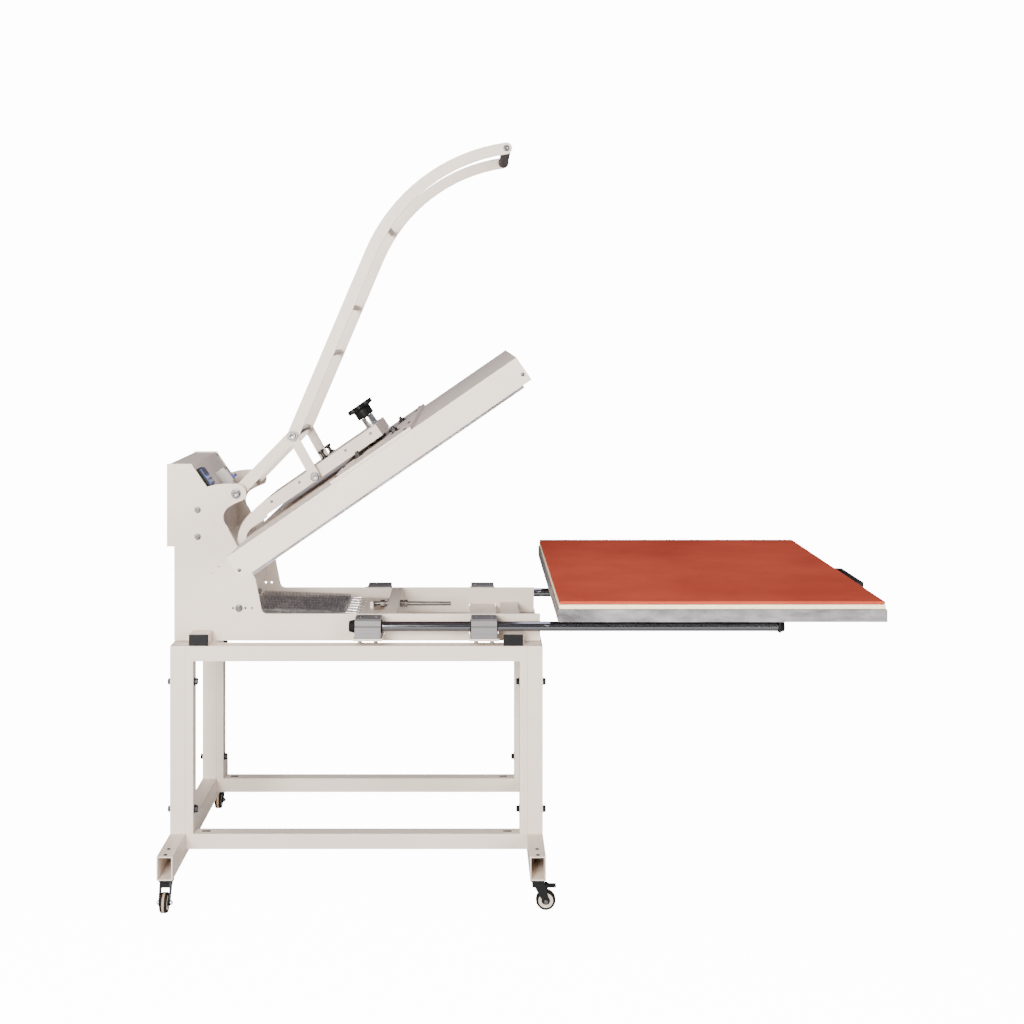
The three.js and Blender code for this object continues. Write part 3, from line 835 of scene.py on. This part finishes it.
def block_seals(bm):
    for x0, x1 in BLOCKS:
        for _, side in SIDES:
            for x, out in ((x0, -ALONG), (x1, ALONG)):
                ring(bm, [(12.8, 0.1), (18, 0.1), (18, 1.6), (16.5, 2.6), (13.2, 2.6)],
                     at(x, side * BLOCK_Y, SHAFT_Z), out, 36)


group("shaft_seals", block_seals, "rubber", "frame", 0.0)


def block_bolts(bm):
    for x0, x1 in BLOCKS:
        for _, side in SIDES:
            for x in (x0 + 13, x1 - 13):
                for y in (BLOCK_Y - 26, BLOCK_Y + 26):
                    hex_bolt(bm, at(x, side * y, 648.9), -UP, 6, 6, washer=8)
                socket_head(bm, at(x, side * BLOCK_Y, 704.1), UP, 4.6, 1.9)


group("block_bolts", block_bolts, "zinc", "frame", 0.3)


def block_ribs(bm):
    """A raised rib along each block's outer face."""
    for x0, x1 in BLOCKS:
        for _, side in SIDES:
            y = sorted((side * 272.9, side * 274.2))
            block(bm, at(x0 + 1, y[0], 656), at(x1 - 1, y[1], 667))


group("block_ribs", block_ribs, "block", "frame", 0.6)
# Painted shade: a near-black disc on the near block's face stands in for the shaded inside of its grease
# hole.
group("grease_hole_shade", lambda bm: lathe(bm, [(0, 0), (2.8, 0), (2.8, 0.5), (0, 0.5)],
                                      at(658, -269.1, 684), -ACROSS, 20),
      "hole", "frame", 0.0)


def shaft_bumpers(bm):
    """A tapered collar at each shaft's rear end, and a cap outside each rail's end plate."""
    collar = [(12.6, 0), (16.5, 0), (17, 1.5), (14.2, 13.5), (13.4, 14.8), (12.6, 15)]
    cap = [(0, 0), (14.5, 0), (14.8, 1.2), (13.4, 9), (12.4, 10), (0, 10)]
    for _, side in SIDES:
        ring(bm, collar, at(320.5, side * BLOCK_Y, SHAFT_Z), -ALONG, 36)
        lathe(bm, cap, at(1433.3, side * BLOCK_Y, SHAFT_Z), ALONG, 36)


group("shaft_bumpers", shaft_bumpers, "rubber", "drawer", 0.0)


# ---- Table hardware -------------------------------------------------------------------------------
def table_screws(bm):
    for _, side in SIDES:
        for x in (880, 1060, 1240, 1420):
            for dy in (-9, 9):
                socket_head(bm, at(x, side * BLOCK_Y + dy, 706.9), -UP, 3.4, 2.0)


group("rail_screws", table_screws, "bolt_steel", "drawer", 0.3)


def pull_screws(bm):
    for _, side in SIDES:
        lathe(bm, [(0, 0), (4.2, 0), (3.6, 1.5), (0, 2.1)], at(1650, side * 113.5, 764.2), UP, 18)


group("pull_screws", pull_screws, "bolt_steel", "drawer", 0.0)

# ---- Counterbalance springs -----------------------------------------------------------------------
SPRING_YS = (-108, -72, -36, 0, 36, 72, 108)
COIL_RADIUS = 8.6
WIRE_RADIUS = 1.35
PITCH = 4.1
COIL_START = at(34, 0, 699)
COIL_END = at(282, 0, 690)


def swept(bm, points, radius, sides=7):
    """A round wire along a list of points."""
    last = len(points) - 1
    tangents = [(points[min(i + 1, last)] - points[max(i - 1, 0)]).normalized() for i in range(last + 1)]
    side_way = tangents[0].orthogonal().normalized()
    rows = []
    for point, tangent in zip(points, tangents):
        side_way = (side_way - tangent * side_way.dot(tangent)).normalized()
        other = tangent.cross(side_way)
        rows.append([bm.verts.new(point + (side_way * math.cos(a) + other * math.sin(a)) * radius * MM)
                     for a in (2 * math.pi * k / sides for k in range(sides))])
    skin(bm, rows)


def hook(centre, radius, degrees):
    """Points round a circle in the plane of X and Z."""
    return [centre + (ALONG * math.cos(a) + UP * math.sin(a)) * radius * MM
            for a in map(math.radians, degrees)]


def spring(bm, y):
    """Close-wound coils between two hooks: one round the spring bar, one through the carriage."""
    shift = ACROSS * y * MM
    axis = (COIL_END - COIL_START).normalized()
    upright = axis.cross(ACROSS).normalized() * -1
    length = (COIL_END - COIL_START).length / MM
    turns = round(length / PITCH)
    per_turn = 12
    rear = hook(at(14, y, 700), 7.6, range(-20, 281, 25))[::-1]
    rear.append(COIL_START + shift - axis * 3 * MM)
    coil = []
    for i in range(turns * per_turn + 1):
        angle = 2 * math.pi * i / per_turn
        along = COIL_START + axis * (length * i / (turns * per_turn)) * MM
        around = upright * math.cos(angle) + ACROSS * math.sin(angle)
        coil.append(along + shift + around * COIL_RADIUS * MM)
    front = [COIL_END + shift + axis * 4 * MM, COIL_END + shift + axis * 12 * MM]
    front += hook(at(312, y, 682), 7.0, range(120, -171, -25))
    swept(bm, rear + coil + front, WIRE_RADIUS)


for index, y in enumerate(SPRING_YS):
    bm = bmesh.new()
    spring(bm, y)
    piece = mesh_object(f"counter_spring_{index + 1}", bm)
    piece.data.materials.append(FINISH["spring"])
    soften(piece, 0)
    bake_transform(piece)
    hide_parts("extension_springs")

# ---- Tension rod ----------------------------------------------------------------------------------
ROD_Z = 693


def tension_rod(bm):
    threads(bm, at(354.5, 0, ROD_Z), ALONG, 6, 215, 2.6)


rod = group("tension_screw", tension_rod, "zinc", "frame", 0.0)
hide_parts("tension_rod")


def rod_nuts(bm):
    for x, thick in ((373, 12), (427.5, 10), (438.5, 10)):
        prism(bm, 6, 10.4, thick, at(x, 0, ROD_Z), ALONG, turn=math.pi / 6)
    lathe(bm, [(0, 0), (13, 0), (13, 1.6), (0, 1.6)], at(394, 0, ROD_Z), ALONG, 28)


group("rod_nuts", rod_nuts, "zinc", "frame", 0.6)

# ---- Casters --------------------------------------------------------------------------------------
CASTER_Y = 382
CASTERS = (
    ("rear_near", STAND_REAR + STAND_TUBE / 2, -CASTER_Y, -90),
    ("rear_far", STAND_REAR + STAND_TUBE / 2, CASTER_Y, -90),
    ("front_near", STAND_FRONT - STAND_TUBE / 2, -CASTER_Y, 0),
    ("front_far", STAND_FRONT - STAND_TUBE / 2, CASTER_Y, 0),
)
TRAIL = 20
WHEEL_Z = 25


def caster(place, x, y, heading):
    """Dresses a caster: its tyre, tread, cream ring and hub, ball race, axle bolt and pedal ribs."""
    turn = math.radians(heading)
    ahead = Vector((math.cos(turn), math.sin(turn), 0))
    axle_way = Vector((-math.sin(turn), math.cos(turn), 0))
    hub = at(x, y, WHEEL_Z) + ahead * TRAIL * MM
    wheel_body = f"caster_wheel_{place}"
    swivel_body = f"caster_swivel_{place}"

    def tyre(bm):
        half = [(18.5, -8.5), (22.5, -9.6), (24.4, -7.5), (25, -4)]
        ring(bm, half + [(radius, -offset) for radius, offset in half[::-1]], hub, axle_way, 56)

    def tread(bm):
        ring(bm, [(24.0, -3.0), (25.05, -2.6), (25.05, 2.6), (24.0, 3.0)], hub, axle_way, 56)

    def wheel_ring(bm):
        ring(bm, [(10.5, -9.0), (18.3, -9.0), (18.3, 9.0), (10.5, 9.0)], hub, axle_way, 48)

    def wheel_hub(bm):
        half = [(0, -10.8), (5, -10.8), (5, -9.8), (10.3, -9.4)]
        lathe(bm, half + [(radius, -offset) for radius, offset in half[::-1]], hub, axle_way, 32)
    shown = group(f"tyre_{place}", tyre, "rubber", wheel_body, 0.0)
    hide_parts(f"caster_wheel_{place}")
    group(f"tread_{place}", tread, "tread", wheel_body, 0.0)
    group(f"wheel_ring_{place}", wheel_ring, "wheel_ring", wheel_body, 0.8)
    group(f"wheel_hub_{place}", wheel_hub, "black", wheel_body, 0.6)

    def race(bm):
        lathe(bm, [(0, 0), (18, 0), (20, 2), (20, 4.5), (17, 6), (17, 8), (0, 8)], at(x, y, 71.5), UP, 40)

    def axle(bm):
        end = [(0, 4), (3.4, 4), (3.4, 5.6), (2.6, 6.4), (0, 6.4)]
        for sign in (-1, 1):
            out = axle_way * sign
            start = hub + out * 14.2 * MM
            prism(bm, 6, 6, 4, start, out)
            lathe(bm, end, start, out, 16)
    group(f"ball_race_{place}", race, "black_steel", swivel_body, 0.0)
    group(f"axle_bolt_{place}", axle, "bolt_steel", swivel_body, 0.4)
    if place.startswith("front"):
        def tread_plate(bm):
            for k in range(5):
                low = hub + ahead * (7 + 4.2 * k) * MM
                corner = Vector((low.x, y * MM - 9 * MM, 62.1 * MM))
                block(bm, corner, corner + Vector((2.0 * MM, 18 * MM, 1.3 * MM)))
        group(f"pedal_ribs_{place}", tread_plate, "black", f"brake_pedal_{place}", 0.3)


dress("black_steel", named("caster_fork"), 0.9)
dress("black", named("brake_pedal"), 1.2)
for place, x, y, heading in CASTERS:
    caster(place, x, y, heading)
